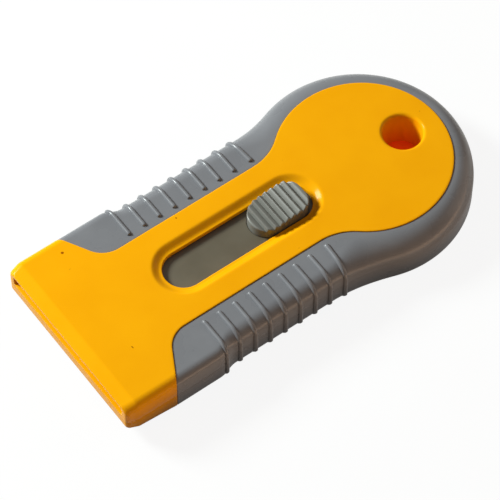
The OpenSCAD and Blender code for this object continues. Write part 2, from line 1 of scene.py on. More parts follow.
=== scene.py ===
import bpy
import bmesh
import numpy as np
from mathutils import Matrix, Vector


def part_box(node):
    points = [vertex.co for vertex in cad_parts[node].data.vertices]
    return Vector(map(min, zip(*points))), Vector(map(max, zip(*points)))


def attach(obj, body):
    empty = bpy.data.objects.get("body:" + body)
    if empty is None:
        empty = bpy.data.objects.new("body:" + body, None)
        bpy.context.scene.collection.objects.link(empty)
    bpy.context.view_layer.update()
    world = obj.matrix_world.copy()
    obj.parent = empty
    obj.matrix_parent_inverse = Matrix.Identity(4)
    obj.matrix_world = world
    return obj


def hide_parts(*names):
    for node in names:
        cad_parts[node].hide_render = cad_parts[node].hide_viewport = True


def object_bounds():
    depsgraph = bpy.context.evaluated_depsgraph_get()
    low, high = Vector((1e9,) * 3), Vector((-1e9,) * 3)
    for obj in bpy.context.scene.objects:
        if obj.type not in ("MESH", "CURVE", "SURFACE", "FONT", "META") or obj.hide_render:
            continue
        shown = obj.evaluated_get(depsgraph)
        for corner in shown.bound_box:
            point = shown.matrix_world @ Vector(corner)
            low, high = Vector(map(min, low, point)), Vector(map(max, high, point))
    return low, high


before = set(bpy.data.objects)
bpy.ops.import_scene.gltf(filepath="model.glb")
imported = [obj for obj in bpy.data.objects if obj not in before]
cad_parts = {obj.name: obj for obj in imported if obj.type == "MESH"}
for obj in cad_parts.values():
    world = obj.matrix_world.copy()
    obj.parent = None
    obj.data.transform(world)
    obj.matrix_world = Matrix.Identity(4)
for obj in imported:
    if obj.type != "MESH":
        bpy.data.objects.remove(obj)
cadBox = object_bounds()
print("frame loaded:", ", ".join(sorted(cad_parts)))

# Lengths below are in mm. Places along the body are t, counted back from the mouth, and depths d
# count inwards from the top face or, on the lower half, upwards from the underside.
mm = 0.001
frontX = cadBox[1][0] / mm
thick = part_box("upper_shell")[1][2] / mm
partDepth = thick / 2

outline = {
    "headRadius": 24.79, "headAt": 76.2,      # round rear end
    "waistHalf": 20.9, "waistEnd": 53.2,       # straight waist before the flare
    "housingHalf": 22.0, "housingLength": 23.5, "shoulderLength": 4.5,
}
face = {
    "radius": 19.4, "centreAt": 77.3,         # round end of the hard face
    "neckHalf": 11.75, "neckStart": 21.5, "neckEnd": 56.5,
    "slant": np.radians(61), "slantRadius": 6.0, "slantHalf": 19.4,
}


# Smooth step: flat at 0 and at 1, steepest between them
def ease(u):
    c = np.clip(u, 0, 1)
    return c * c * (3 - 2 * c)


# Straight blend from a to b
def mix(a, b, u):
    return a + (b - a) * u


# A ramp that starts at the knee and is rounded over the blend on both sides of it
def softRamp(u, blend):
    return np.where(u < -blend, 0, np.where(u > blend, u, (u + blend) ** 2 / (4 * blend)))


# Points (t, y, d) become metres in the shared frame
def toFrame(points, top):
    t, y, d = np.moveaxis(np.asarray(points, float), -1, 0)
    z = thick - d if top else d
    return np.stack([frontX - t, y, z], -1) * mm


weld = {"merge": 2e-6, "tiny": 1e-7, "level": 1e-6, "sharp": np.radians(38)}      # metres and an angle


# Quads of a grid of rows and columns, wrapped round where it closes on itself
def gridQuads(rows, cols, closeRows=False, closeCols=False):
    r, c = np.meshgrid(np.arange(rows if closeRows else rows - 1),
                       np.arange(cols if closeCols else cols - 1), indexing="ij")
    r2 = (r + 1) % rows
    c2 = (c + 1) % cols
    return np.stack([r * cols + c, r2 * cols + c, r2 * cols + c2, r * cols + c2], -1).reshape(-1, 4)


# Welds grid patches into one closed mesh. Open loops that lie flat at a listed height are filled.
def makePiece(name, patches, fillLevels=(), fillEnds=False):
    points = []
    quads = []
    count = 0
    for grid, closeRows, closeCols in patches:
        rows, cols = grid.shape[:2]
        points.append(grid.reshape(-1, 3))
        quads.append(gridQuads(rows, cols, closeRows, closeCols) + count)
        count += rows * cols
    mesh = bpy.data.meshes.new(name)
    mesh.from_pydata(np.concatenate(points).tolist(), [], np.concatenate(quads).tolist())
    work = bmesh.new()
    work.from_mesh(mesh)
    bmesh.ops.remove_doubles(work, verts=work.verts, dist=weld["merge"])
    bmesh.ops.dissolve_degenerate(work, edges=work.edges, dist=weld["tiny"])
    for level in fillLevels:
        rim = [e for e in work.edges if e.is_boundary
               and max(abs(v.co.z - level * mm) for v in e.verts) < weld["level"]]
        bmesh.ops.triangle_fill(work, edges=rim, use_beauty=True)
    if fillEnds:
        bmesh.ops.holes_fill(work, edges=[e for e in work.edges if e.is_boundary])
    bmesh.ops.recalc_face_normals(work, faces=work.faces)
    openEdges = sum(not e.is_manifold for e in work.edges)
    work.to_mesh(mesh)
    work.free()
    mesh.shade_smooth()
    mesh.set_sharp_from_angle(angle=weld["sharp"])
    piece = bpy.data.objects.new(name, mesh)
    bpy.context.scene.collection.objects.link(piece)
    print(name, "faces", len(mesh.polygons), "open edges", openEdges)
    return piece


# Gives a piece its material and body, and hides the CAD nodes that it stands for
def dress(piece, body, slot, material, *nodes):
    piece.data.materials.append(material)
    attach(piece, body)
    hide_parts(*nodes)


# Values that follow from the two outlines
flare = outline["headAt"] - outline["waistEnd"]
waistRadius = ((flare ** 2 + outline["waistHalf"] ** 2 - outline["headRadius"] ** 2)
               / (2 * (outline["headRadius"] - outline["waistHalf"])))
joinAngle = np.arctan(flare / (outline["waistHalf"] + waistRadius))
joinAt = outline["headAt"] - outline["headRadius"] * np.sin(joinAngle)
fan = face["centreAt"] - face["neckEnd"]
neckRadius = ((fan ** 2 + face["neckHalf"] ** 2 - face["radius"] ** 2)
              / (2 * (face["radius"] - face["neckHalf"])))
neckTurn = np.arcsin(fan / (face["radius"] + neckRadius))
neckJoin = face["centreAt"] - face["radius"] * np.sin(neckTurn)
slantEnd = face["neckStart"] - face["slantRadius"] * np.sin(face["slant"])
slantEndHalf = face["neckHalf"] + face["slantRadius"] * (1 - np.cos(face["slant"]))
gripFront = slantEnd - (face["slantHalf"] - slantEndHalf) / np.tan(face["slant"])


# Edge of the hard face on the near side, from the slanted front edge round to the middle of the rear:
# a line, a corner arc, a straight neck, a hollow arc and the round end
def faceEdge():
    lineT = np.linspace(gripFront, slantEnd, 8)
    lineY = mix(face["slantHalf"], slantEndHalf, np.linspace(0, 1, 8))
    a = np.linspace(face["slant"], 0, 18)[1:]
    cornerT = face["neckStart"] - face["slantRadius"] * np.sin(a)
    cornerY = face["neckHalf"] + face["slantRadius"] * (1 - np.cos(a))
    neckT = np.linspace(face["neckStart"], face["neckEnd"], 14)[1:]
    neckY = np.full(len(neckT), face["neckHalf"])
    b = np.linspace(0, neckTurn, 20)[1:]
    hollowT = face["neckEnd"] + neckRadius * np.sin(b)
    hollowY = face["neckHalf"] + neckRadius * (1 - np.cos(b))
    c = np.linspace(np.pi / 2 - neckTurn, np.pi, 80)[1:]
    roundT = face["centreAt"] - face["radius"] * np.cos(c)
    roundY = face["radius"] * np.sin(c)
    t = np.concatenate([lineT, cornerT, neckT, hollowT, roundT])
    y = np.concatenate([lineY, cornerY, neckY, hollowY, roundY])
    return np.stack([t, y], -1)


# Inward mitred normals of an open line of plan points
def mitred(line, before, after):
    whole = np.concatenate([[before], line, [after]])
    step = np.diff(whole, axis=0)
    step /= np.linalg.norm(step, axis=1)[:, None]
    along = step[:-1] + step[1:]
    along /= np.linalg.norm(along, axis=1)[:, None]
    spread = 1 / (along * step[1:]).sum(1)
    return np.stack([-along[:, 1], along[:, 0]], -1) * -spread[:, None]


edgeNear = faceEdge()
edgeLine = np.concatenate([edgeNear, (edgeNear * [1, -1])[-2::-1]])
slantStep = 1 / np.tan(face["slant"])
edgeIn = mitred(edgeLine, [gripFront - slantStep, face["slantHalf"] + 1],
                [gripFront - slantStep, -face["slantHalf"] - 1])
print("outline worked out, grips start", round(float(gripFront), 3), "mm behind the mouth")


# The grips' front ends follow the slanted edge out to the side: how far a point out there lies forward
def slantShift(y):
    return slantStep * np.maximum(0, np.abs(y) - face["slantHalf"])


# The grips' slanted front edge moved forward by a distance
def gripLine(dist):
    return gripFront - dist / np.sin(face["slant"])


# Hard shells
shell = {
    "upperRound": 2.0, "lowerRound": 1.5,      # side edges of the housing
    "band": 0.05, "edgeRound": 0.14, "edgeShare": 0.3, "edgeBand": 0.42, "edgeDrop": 1.2,
    "partGroove": 0.015, "partEdge": 0.05,     # fine groove where the halves meet
    "ceiling": 1.9, "floor": 3.4, "chamberHalf": 20.4, "chamberRound": 0.3,      # inner faces
    "noseStart": 3.3, "noseLength": 2.75, "noseDrop": 0.8, "noseSide": 0.5, "noseBlend": 0.25,
    "frontRound": 0.25, "cornerRound": 0.8,
    "reliefAt": 11.884, "reliefRise": 1.6, "reliefBlend": 0.15, "noseLow": 3.1,
    "sideMiddle": 6.0, "leanFrom": 9.0,
    "tipRound": 0.4, "noseRound": 1.0, "fullRoundAt": 10.0,      # lower side edges towards the mouth
    "mouthHalf": 19.6, "mouthTop": 1.65, "mouthLength": 2.4, "mouthStep": 0.3, "mouthRound": 0.35,
    "lipTop": 6.35, "lipLength": 1.6, "lipRound": 0.5, "lipGap": 0.004, "lipEdge": 0.1,
}
flatShare = np.array([0, 0.3, 0.6, 0.85, 1])
arcTurn = np.linspace(0, np.pi / 2, 11)
sideShare = np.array([0.5, 1])
sideCols = len(sideShare) + 1 + len(arcTurn) + 1


# One half section from the middle outwards is mirrored into a whole one, near side first
def wholeSection(t, y, d):
    near = np.stack([np.broadcast_to(t, y.shape), y, d], -1)
    return np.concatenate([near[:, ::-1], (near * [1, -1, 1])[:, 1:]], 1)


# Cross sections of the housing, one row each: flat, rounded edge and side down to the parting line.
# The insets shrink a section's face and its sides, which rounds the edges of an end, and the lean
# carries the points beside the hard face forward along the slant. The drop may be a function of t.
def housingRows(t, half, drop, radius, inset=0.0, sideInset=None, lean=0.0):
    sideInset = inset if sideInset is None else sideInset
    t, half, radius, inset, sideInset, lean = [np.atleast_1d(v)[:, None] for v in
                                               np.broadcast_arrays(t, half, radius, inset, sideInset, lean)]
    centre = half - radius - sideInset + inset
    ySide = half - sideInset
    y = np.concatenate([(centre - shell["band"]) * flatShare, centre + (radius - inset) * np.sin(arcTurn),
                        ySide + 0 * sideShare, ySide - shell["partGroove"]], 1)
    t = t - lean * slantShift(y)
    fall = drop(t) if callable(drop) else np.atleast_1d(drop)[:, None] + 0 * y
    columns = np.cumsum([len(flatShare), len(arcTurn), len(sideShare)])
    fallFlat, fallArc, fallSide, fallPart = np.split(fall, columns, 1)
    d = np.concatenate([fallFlat + inset, fallArc + radius - (radius - inset) * np.cos(arcTurn),
                        mix(fallSide + radius, partDepth - shell["partEdge"], sideShare),
                        partDepth + 0 * fallPart], 1)
    return wholeSection(t, y, d)


# Sections of the lower lip: its top, which curves up at both ends, and the parting plane beside it
def lipRows(t, top, half, outer):
    t, top, half = [np.atleast_1d(v)[:, None] for v in np.broadcast_arrays(t, top, half)]
    c = shell["lipRound"]
    yFlat = (half - c - shell["band"]) * flatShare + 0 * t
    dFlat = top + 0 * yFlat
    yArc = half - c + c * np.sin(arcTurn) + 0 * t
    dArc = top + c - c * np.cos(arcTurn)
    dSide = mix(top + c, partDepth, sideShare)
    ySide = half + 0 * dSide
    yPart = outer + 0 * t
    dPart = partDepth + 0 * t
    return wholeSection(t, np.concatenate([yFlat, yArc, ySide, yPart], 1),
                        np.concatenate([dFlat, dArc, dSide, dPart], 1))


noseSlope = shell["noseSide"] / shell["noseLength"]
# places of the sections: over the nose, about the start of the relief and between the two
noseStops = np.array([3.0, 2.92, 2.84, 2.76, 2.68, 2.6, 2.5, 1.9, 1.3])
kinkStops = shell["reliefAt"] + np.array([0.6, 0.4, 0.2, 0, -0.2, -0.4, -0.6])
reliefStops = np.array([8, 6, 4.5])
# rounded rim of the mouth: places behind its face and how much wider it is there
rimBack = np.array([0, 0.008, 0.044, 0.1, 0.15])
rimGrow = np.array([0.15, 0.1, 0.044, 0.012, 0])


# Rounding of an end: how far a face with this edge radius draws in at the place t
def drawnIn(t, radius):
    return radius - np.sqrt(radius ** 2 - np.maximum(0, radius - t) ** 2)


# The front end rounds over into the mouth's face, with a rounder edge at the sides than above and below
def frontRows(t):
    turn = np.sin(np.radians(np.arange(10, 91, 10)))
    edges = np.concatenate([shell["cornerRound"] * (1 - turn), shell["frontRound"] * (1 - turn)])
    t = np.concatenate([t, np.unique(edges)[::-1]])
    return t, drawnIn(t, shell["frontRound"]), drawnIn(t, shell["cornerRound"])


# Half width of the housing, which narrows over the nose
def housingHalf(t):
    return outline["housingHalf"] - noseSlope * softRamp(shell["noseLength"] - t, shell["noseBlend"])


# Upper nose: the top falls towards the mouth, then the lip and the chamber's roof follow
def upperNose():
    t, inset, sideInset = frontRows(np.append(shell["noseStart"], noseStops))
    slope = shell["noseDrop"] / shell["noseLength"]
    drop = slope * softRamp(shell["noseLength"] - t, shell["noseBlend"])
    outer = housingRows(t, housingHalf(t), drop, shell["upperRound"], inset, sideInset)
    grow = np.append(rimGrow, [0, 0, 0])
    half = shell["mouthHalf"] + grow
    half[-1] = shell["chamberHalf"]
    depth = shell["mouthTop"] - grow
    depth[-2:] = shell["ceiling"]
    mouthEnd = shell["mouthLength"] + shell["mouthStep"]
    back = np.append(rimBack, [shell["mouthLength"], mouthEnd, gripFront])
    return np.concatenate([outer, housingRows(back, half, depth, shell["mouthRound"] + grow)])


# The underside's rise towards the mouth: a long slope and a steeper one under the nose
def lowerRise(t):
    rise = shell["reliefRise"] / (shell["reliefAt"] - shell["noseLength"])
    steep = (shell["noseLow"] - shell["reliefRise"]) / shell["noseLength"]
    return (rise * softRamp(shell["reliefAt"] - t, shell["reliefBlend"])
            + (steep - rise) * softRamp(shell["noseLength"] - t, shell["noseBlend"]))


# Lower nose: the underside rises to the mouth, then the lip and the chamber's floor follow
def lowerNose():
    first = gripLine(shell["edgeBand"])
    t, inset, sideInset = frontRows(np.concatenate([[first], kinkStops, reliefStops, noseStops]))
    radius = np.interp(t, [0, shell["noseLength"], shell["fullRoundAt"]],
                       [shell["tipRound"], shell["noseRound"], shell["lowerRound"]])
    lean = np.clip((t - shell["leanFrom"]) / (first - shell["leanFrom"]), 0, 1)
    outer = housingRows(t, housingHalf(t), lowerRise, radius, inset, sideInset, lean)
    lipT = np.append(rimBack, [shell["lipLength"] - shell["lipEdge"], shell["lipLength"]])
    lipTop = shell["lipTop"] - np.append(rimGrow, [0, shell["lipEdge"]])
    lipHalf = shell["mouthHalf"] - shell["lipGap"] + np.append(rimGrow, [0, 0])
    lip = lipRows(lipT, lipTop, lipHalf, outer[-1, 0, 1])
    lipFoot = lip[:1].copy()      # the lip's front face starts at the parting plane
    lipFoot[..., 2] = partDepth
    inner = housingRows(np.array([shell["lipLength"], gripFront]),
                        np.array([shell["mouthHalf"], shell["chamberHalf"]]),
                        shell["floor"], shell["chamberRound"])
    return np.concatenate([outer, lipFoot, lip, inner])


# The shell's edge along the grips: a band on the surface, a small rounding, then down to the inner face
def gripEdge(radius, drop, nose, inner):
    r = shell["edgeRound"]
    inset = np.array([0, 0, r * shell["edgeShare"], r, shell["edgeDrop"]])
    dist = np.array([shell["edgeBand"], r, r * shell["edgeShare"], 0, 0])
    sides = housingRows(gripLine(dist), outline["housingHalf"], drop, radius, inset, lean=1.0)
    sides = np.concatenate([sides, nose[-1:]])
    dist = np.append(dist, 0)
    depth = np.append(inset, inner)
    plan = edgeLine + dist[:, None, None] * edgeIn
    flat = np.concatenate([plan, np.broadcast_to(depth[:, None, None], plan.shape[:2] + (1,))], -1)
    return np.concatenate([sides[:, :sideCols], flat, sides[:, -sideCols:]], 1)


# A profile of offsets and depths carried round a closed path of centres and directions
def ringRows(centre, direction, radius, offset, depth):
    plan = centre + direction * (radius + np.asarray(offset)[:, None, None])
    deep = np.broadcast_to(np.asarray(depth)[:, None, None], plan.shape[:2] + (1,))
    return np.concatenate([plan, deep], -1)


# Circle about one centre, as centres and outward directions
def roundPath(t, y, steps):
    a = np.linspace(0, 2 * np.pi, steps, endpoint=False)
    return np.array([t, y]) + np.zeros((steps, 2)), np.stack([np.cos(a), np.sin(a)], -1)


# Stadium: two half circles joined by straight sides
def slotPath(t0, t1, arcSteps, lineSteps):
    a = np.linspace(-np.pi / 2, np.pi / 2, arcSteps + 1)
    line = np.linspace(0, 1, lineSteps + 1)[1:-1]
    rear = np.stack([np.cos(a), np.sin(a)], -1)
    centre = np.concatenate([np.full(len(a), t1), mix(t1, t0, line),
                             np.full(len(a), t0), mix(t0, t1, line)])
    direction = np.concatenate([rear, np.tile([0, 1], (len(line), 1)), -rear,
                                np.tile([0, -1], (len(line), 1))])
    return np.stack([centre, 0 * centre], -1), direction


slot = {
    "front": 25.2, "rear": 62.5, "half": 4.65, "arcSteps": 32, "lineSteps": 8,
    # offsets from the slot's edge and depths of the dished rim, from the outside in
    "offset": [2.8, 2.45, 2.3, 2.15, 2.0, 1.8, 1.55, 1.3, 1.05,
               0.85, 0.68, 0.5, 0.34, 0.2, 0.1, 0.03, 0, 0],
    "depth": [0, 0, 0.015, 0.05, 0.11, 0.22, 0.38, 0.55, 0.71,
              0.82, 0.89, 0.94, 0.965, 0.985, 1.01, 1.06, 1.15, 1.9],
}
hole = {"at": 87.9, "radius": 4.4, "fillet": 0.8, "band": 0.45, "collar": 2.4, "steps": 96}
screwHole = {
    "places": [(28.0, 9.25), (28.0, -9.25), (70.1, 12.471), (70.1, -12.471)],
    "radius": 2.05, "depth": 1.4, "steps": 40,
    "rim": [0.5, 0.2, 0.06, 0], "rimDepth": [0, 0, 0.06, 0.2],
}


# Rounded rim, bore down to the parting line, and the collar's outside back up to the inner face
def holeRows(inner):
    a = np.radians(np.linspace(0, 90, 9))
    f = hole["fillet"]
    groove = shell["partGroove"]
    offset = np.concatenate([[f + hole["band"]], f * (1 - np.sin(a)),
                             [0, groove, hole["collar"], hole["collar"]]])
    depth = np.concatenate([[0], f * (1 - np.cos(a)), [partDepth - groove, partDepth, partDepth, inner]])
    centre, direction = roundPath(hole["at"], 0, hole["steps"])
    return ringRows(centre, direction, hole["radius"], offset, depth)


# Rounded rim, wall and floor of a screw's recess
def screwRows(t, y):
    centre, direction = roundPath(t, y, screwHole["steps"])
    offset = np.append(screwHole["rim"], [0, -screwHole["radius"]])
    depth = np.append(screwHole["rimDepth"], [screwHole["depth"], screwHole["depth"]])
    return ringRows(centre, direction, screwHole["radius"], offset, depth)


# Nose, side strips, edge along the grips, dished slot and hang hole, with the flats filled between
def upperShell():
    nose = upperNose()
    sideStops = np.array([shell["noseStart"], shell["sideMiddle"], shell["leanFrom"],
                          gripLine(shell["edgeBand"])])
    side = housingRows(sideStops, outline["housingHalf"], 0, shell["upperRound"],
                       lean=np.array([0, 0, 0, 1]))
    edge = gripEdge(shell["upperRound"], 0, nose, shell["ceiling"])
    centre, direction = slotPath(slot["front"] + slot["half"], slot["rear"] - slot["half"],
                                 slot["arcSteps"], slot["lineSteps"])
    dish = ringRows(centre, direction, slot["half"], slot["offset"], slot["depth"])
    patches = [(nose, False, False), (side[:, :sideCols], False, False),
               (side[:, -sideCols:], False, False), (edge, False, False),
               (dish, False, True), (holeRows(shell["ceiling"]), False, True)]
    levels = [thick, thick - shell["ceiling"], thick - partDepth]
    return makePiece("upperShell", [(toFrame(p, True), r, c) for p, r, c in patches], levels)


# Nose, edge along the grips, hang hole and screw recesses, with the flats filled between
def lowerShell():
    nose = lowerNose()
    edge = gripEdge(shell["lowerRound"], lowerRise, nose, shell["floor"])
    patches = [(nose, False, False), (edge, False, False), (holeRows(shell["floor"]), False, True)]
    patches += [(screwRows(t, y), False, True) for t, y in screwHole["places"]]
    levels = [0, shell["floor"], partDepth]
    return makePiece("lowerShell", [(toFrame(p, False), r, c) for p, r, c in patches], levels)


# Soft grips
grip = {
    "flat": 1.2, "side": 1.2, "step": 2.6,     # thickness over the top, at the sides, and the shell's step
    "housingRound": 2.0, "waistRound": 3.1, "headRound": 5.1, "flatLeast": 0.4, "lowRound": 1.5,
    "lowHeadRound": 0.7, "lowFlat": 0.1, "edge": 0.14, "edgeShare": 0.3, "leanLength": 3.0, "sink": 0.26,
    "partEdge": 0.06, "partGroove": 0.008, "stepIn": 0.95, "nearShare": 0.45,
    "stationFirst": 14.2, "stationStep": 0.65, "stationGap": 0.3,
    "ribFirst": 25.3, "ribPitch": 3.9, "ribCount": 9,
    "ribHalf": 0.52, "ribHeight": 0.56, "ribInset": 1.4, "ribEnd": 0.35, "ribPower": 2.0,
}
# distances from the hard face, closer together where the ribs end, then shares of the way to the edge
nearStops = np.array([0.14, 0.5, 1.0, 1.4, 1.41, 1.43, 1.46, 1.5, 1.56, 1.64, 1.75])
farShares = np.array([0.08, 0.2, 0.36, 0.54, 0.74, 0.9, 1])
edgeStops = np.array([0, 0.02, 0.06, grip["edge"]])
gripSideShare = np.array([0.35, 0.7, 1])


# Distances at which a ray from p along n enters and leaves a circle
def raySpan(p, n, centre, radius):
    middle = ((centre - p) * n).sum(-1)
    half = np.sqrt(np.maximum(0, radius ** 2 - ((centre - p) ** 2).sum(-1) + middle ** 2))
    return middle - half, middle + half


# Width of a grip from the side point p along the inward normal n to the hard face
def rimWidth(p, n):
    t, y = p[:, 0], p[:, 1]
    corner = np.sqrt(np.maximum(0, face["slantRadius"] ** 2 - (face["neckStart"] - t) ** 2))
    frontHalf = np.where(t < slantEnd, face["slantHalf"] - (t - gripFront) * np.tan(face["slant"]),
                         face["neckHalf"] + face["slantRadius"] - corner)
    line = (face["neckHalf"] - y) / np.minimum(n[:, 1], -1e-9)
    hollow = raySpan(p, n, np.array([face["neckEnd"], face["neckHalf"] + neckRadius]), neckRadius)[1]
    rounded = raySpan(p, n, np.array([face["centreAt"], 0]), face["radius"])[0]
    return np.where(t < face["neckStart"], y - frontHalf,
                    np.where((t < joinAt) & (t + line * n[:, 0] <= face["neckEnd"]), line,
                             np.where((t < joinAt) & (t + hollow * n[:, 0] <= neckJoin), hollow, rounded)))


# Stations round the grips: straight sides, flare and round rear end on the near side, then mirrored
def gripStations():
    ribs = grip["ribFirst"] + grip["ribPitch"] * np.arange(grip["ribCount"])
    reach = grip["ribHalf"] * np.sin(np.linspace(-np.pi / 2, np.pi / 2, 15))
    even = np.arange(grip["stationFirst"], joinAt - grip["stationGap"], grip["stationStep"])
    t = np.concatenate([gripFront + edgeStops, even, (ribs[:, None] + reach).ravel(),
                        [slantEnd, face["neckStart"]]])
    t = np.unique(np.round(t, 4))
    bend = np.arcsin(np.clip((t - outline["waistEnd"]) / waistRadius, 0, 1))
    shoulder = ease((t - outline["housingLength"]) / outline["shoulderLength"])
    y = mix(outline["housingHalf"], outline["waistHalf"], shoulder) + waistRadius * (1 - np.cos(bend))
    turn = np.linspace(-joinAngle, np.pi / 2, 70)
    n = np.concatenate([np.stack([np.sin(bend), -np.cos(bend)], -1),
                        np.stack([-np.sin(turn), -np.cos(turn)], -1)])
    p = np.concatenate([np.stack([t, y], -1),
                        [outline["headAt"], 0] - outline["headRadius"] * n[len(t):]])
    w = rimWidth(p, n)
    gap = np.abs(p[:, :1] - ribs).min(1)
    gap[len(t):] = grip["ribPitch"]
    blendIn = ease((p[:, 0] - outline["waistEnd"]) / (joinAt - outline["waistEnd"]))
    blendIn[len(t):] = 1
    slim = ease((p[:, 0] - outline["housingLength"]) / outline["shoulderLength"])
    waist = mix(grip["housingRound"], grip["waistRound"], slim)
    a = mix(waist, w - grip["flatLeast"], blendIn)
    b = mix(waist, grip["headRound"], blendIn)
    front = np.clip(1 - (p[:, 0] - gripFront) / grip["edge"], 0, 1)
    inset = grip["edge"] * (1 - np.sqrt(1 - front ** 2))
    low = np.minimum(mix(grip["lowRound"], grip["lowHeadRound"], blendIn), w - grip["lowFlat"])
    rows = [p, n, w, a, b, low, gap, inset]
    return [np.concatenate([v, (v * [1, -1] if v.ndim == 2 else v)[-2::-1]]) for v in rows]


# Closed section at each station: v counts inwards from the side. A rib is a rounded bead that
# stands along the surface's normal and ends steeply towards the hard face. The first sections lean
# forward along the slanted edge. The upper grip lies a little below the hard face.
def gripSections(top):
    p, n, w, a, b, low, gap, inset = [v if v.ndim == 2 else v[:, None] for v in gripStations()]
    sink = grip["sink"] if top else 0
    if not top:
        a, b = low, low
    e = grip["edge"]
    squeeze = np.minimum(1, (grip["nearShare"] * (w - a) - e) / (nearStops[-1] - e))
    nearDist = e + (nearStops - e) * squeeze
    dist = np.concatenate([nearDist, mix(nearDist[:, -1:], w - a, farShares)], 1)
    power = grip["ribPower"]
    across = np.clip(1 - (gap / grip["ribHalf"]) ** power, 0, 1)
    ended = np.maximum(0, grip["ribInset"] + grip["ribEnd"] - dist) / grip["ribEnd"]
    bead = grip["ribHeight"] * across ** (1 / power)
    beadEnd = grip["ribHeight"] * np.clip(across - ended ** power, 0, 1) ** (1 / power)
    q = np.linspace(0, np.pi / 2, 13)
    fade = 1 if top else q / (np.pi / 2)
    vFlat = w - dist
    dFlat = sink + inset - (beadEnd if top else 0 * beadEnd)
    vArc = a - (a - inset) * np.sin(q) - bead * np.sin(q) * fade
    dArc = b - (b - inset - sink) * np.cos(q) - (bead * np.cos(q) if top else 0)
    dSide = mix(b, partDepth - grip["partEdge"], gripSideShare)
    vSide = inset - bead + 0 * dSide
    vPart = inset - bead + grip["partGroove"]
    step = grip["stepIn"] + a / 2
    zero = 0 * w
    lastEdge = grip["edgeShare"] * e
    vIn = np.concatenate([zero + grip["side"], zero + grip["side"], step, step, w, w, w - lastEdge], 1)
    dIn = zero + np.array([partDepth, grip["step"], grip["step"], grip["flat"], grip["flat"], sink + e,
                           sink + lastEdge])
    v = np.concatenate([vFlat, vArc[:, 1:], vSide, vPart, vIn], 1)
    d = np.concatenate([dFlat, dArc[:, 1:], dSide, zero + partDepth, dIn], 1)
    plan = p[:, None] + v[..., None] * n[:, None]
    lean = np.clip(1 - (p[:, :1] - gripFront - e) / grip["leanLength"], 0, 1)
    plan[..., 0] -= lean * slantShift(plan[..., 1])
    return np.concatenate([plan, d[..., None]], -1)


# The sections joined into one soft part, with both front ends closed
def gripPiece(name, top):
    return makePiece(name, [(toFrame(gripSections(top), top), False, True)], fillEnds=True)


# Thumb button
button = {
    "front": 47.2, "length": 13.8, "half": 4.35, "rearRound": 3.4,
    "frontHeight": 0.35, "height": 1.745, "crownAt": 10.3, "crownFall": 0.25,
    "toothPitch": 1.6, "toothFirst": 0.4, "toothDepth": 0.75, "toothPower": 1.4,
    "frontShare": 0.78, "rearShare": 0.4, "turnFrom": 2.0, "turnLength": 5.0,
    "toothFade": 0.4, "rearPlain": 0.35, "edgeRound": 0.3, "skirt": 2.325,
    "stemHalfLength": 4.0, "stemHalf": 2.0, "stemDepth": 4.95, "stemRoot": 0.5,
    "rowFirst": 0.1, "rowGap": 0.05, "rowStep": 0.055, "spread": 1.15,       # grid over the crown
}


# Half width of the button: a half circle in front and round corners at the rear
def buttonHalf(l):
    h, r, end = button["half"], button["rearRound"], button["length"]
    frontHalf = np.sqrt(np.clip(h ** 2 - np.maximum(0, h - l) ** 2, 0, None))
    rearHalf = h - r + np.sqrt(np.clip(r ** 2 - np.maximum(0, l - end + r) ** 2, 0, None))
    return np.minimum(frontHalf, rearHalf)


# Distance of a point on the button's top from its outline
def buttonEdge(l, y):
    h, r, end = button["half"], button["rearRound"], button["length"]
    frontGap = np.where(l < h, h - np.hypot(h - l, y), h - np.abs(y))
    cornerGap = r - np.hypot(l - end + r, np.abs(y) - h + r)
    rearGap = np.where((l > end - r) & (np.abs(y) > h - r), cornerGap, end - l)
    return np.maximum(0, np.minimum(frontGap, rearGap))


# Height of the crown, an arch that is steepest at the front, less a row of teeth across it. Behind its
# crest a tooth falls over a share of the pitch that is long at the front and short at the rear.
def buttonHeight(l):
    arch = np.sin(np.pi / 2 * np.minimum(l / button["crownAt"], 1))
    rising = mix(button["frontHeight"], button["height"], arch)
    fallen = np.maximum(0, l - button["crownAt"]) / (button["length"] - button["crownAt"])
    tooth = (l - button["toothFirst"]) / button["toothPitch"]
    crest = button["toothFirst"] + np.floor(tooth) * button["toothPitch"]
    turned = ease((crest - button["turnFrom"]) / button["turnLength"])
    share = mix(button["frontShare"], button["rearShare"], turned)
    phase = tooth % 1
    down = np.where(phase < share, phase / share, (1 - phase) / (1 - share)) ** button["toothPower"]
    fade = (ease((l - button["toothFirst"]) / button["toothFade"])
            * ease((button["length"] - button["rearPlain"] - l) / button["toothFade"]))
    return rising - button["crownFall"] * fallen ** 2 - button["toothDepth"] * fade * down


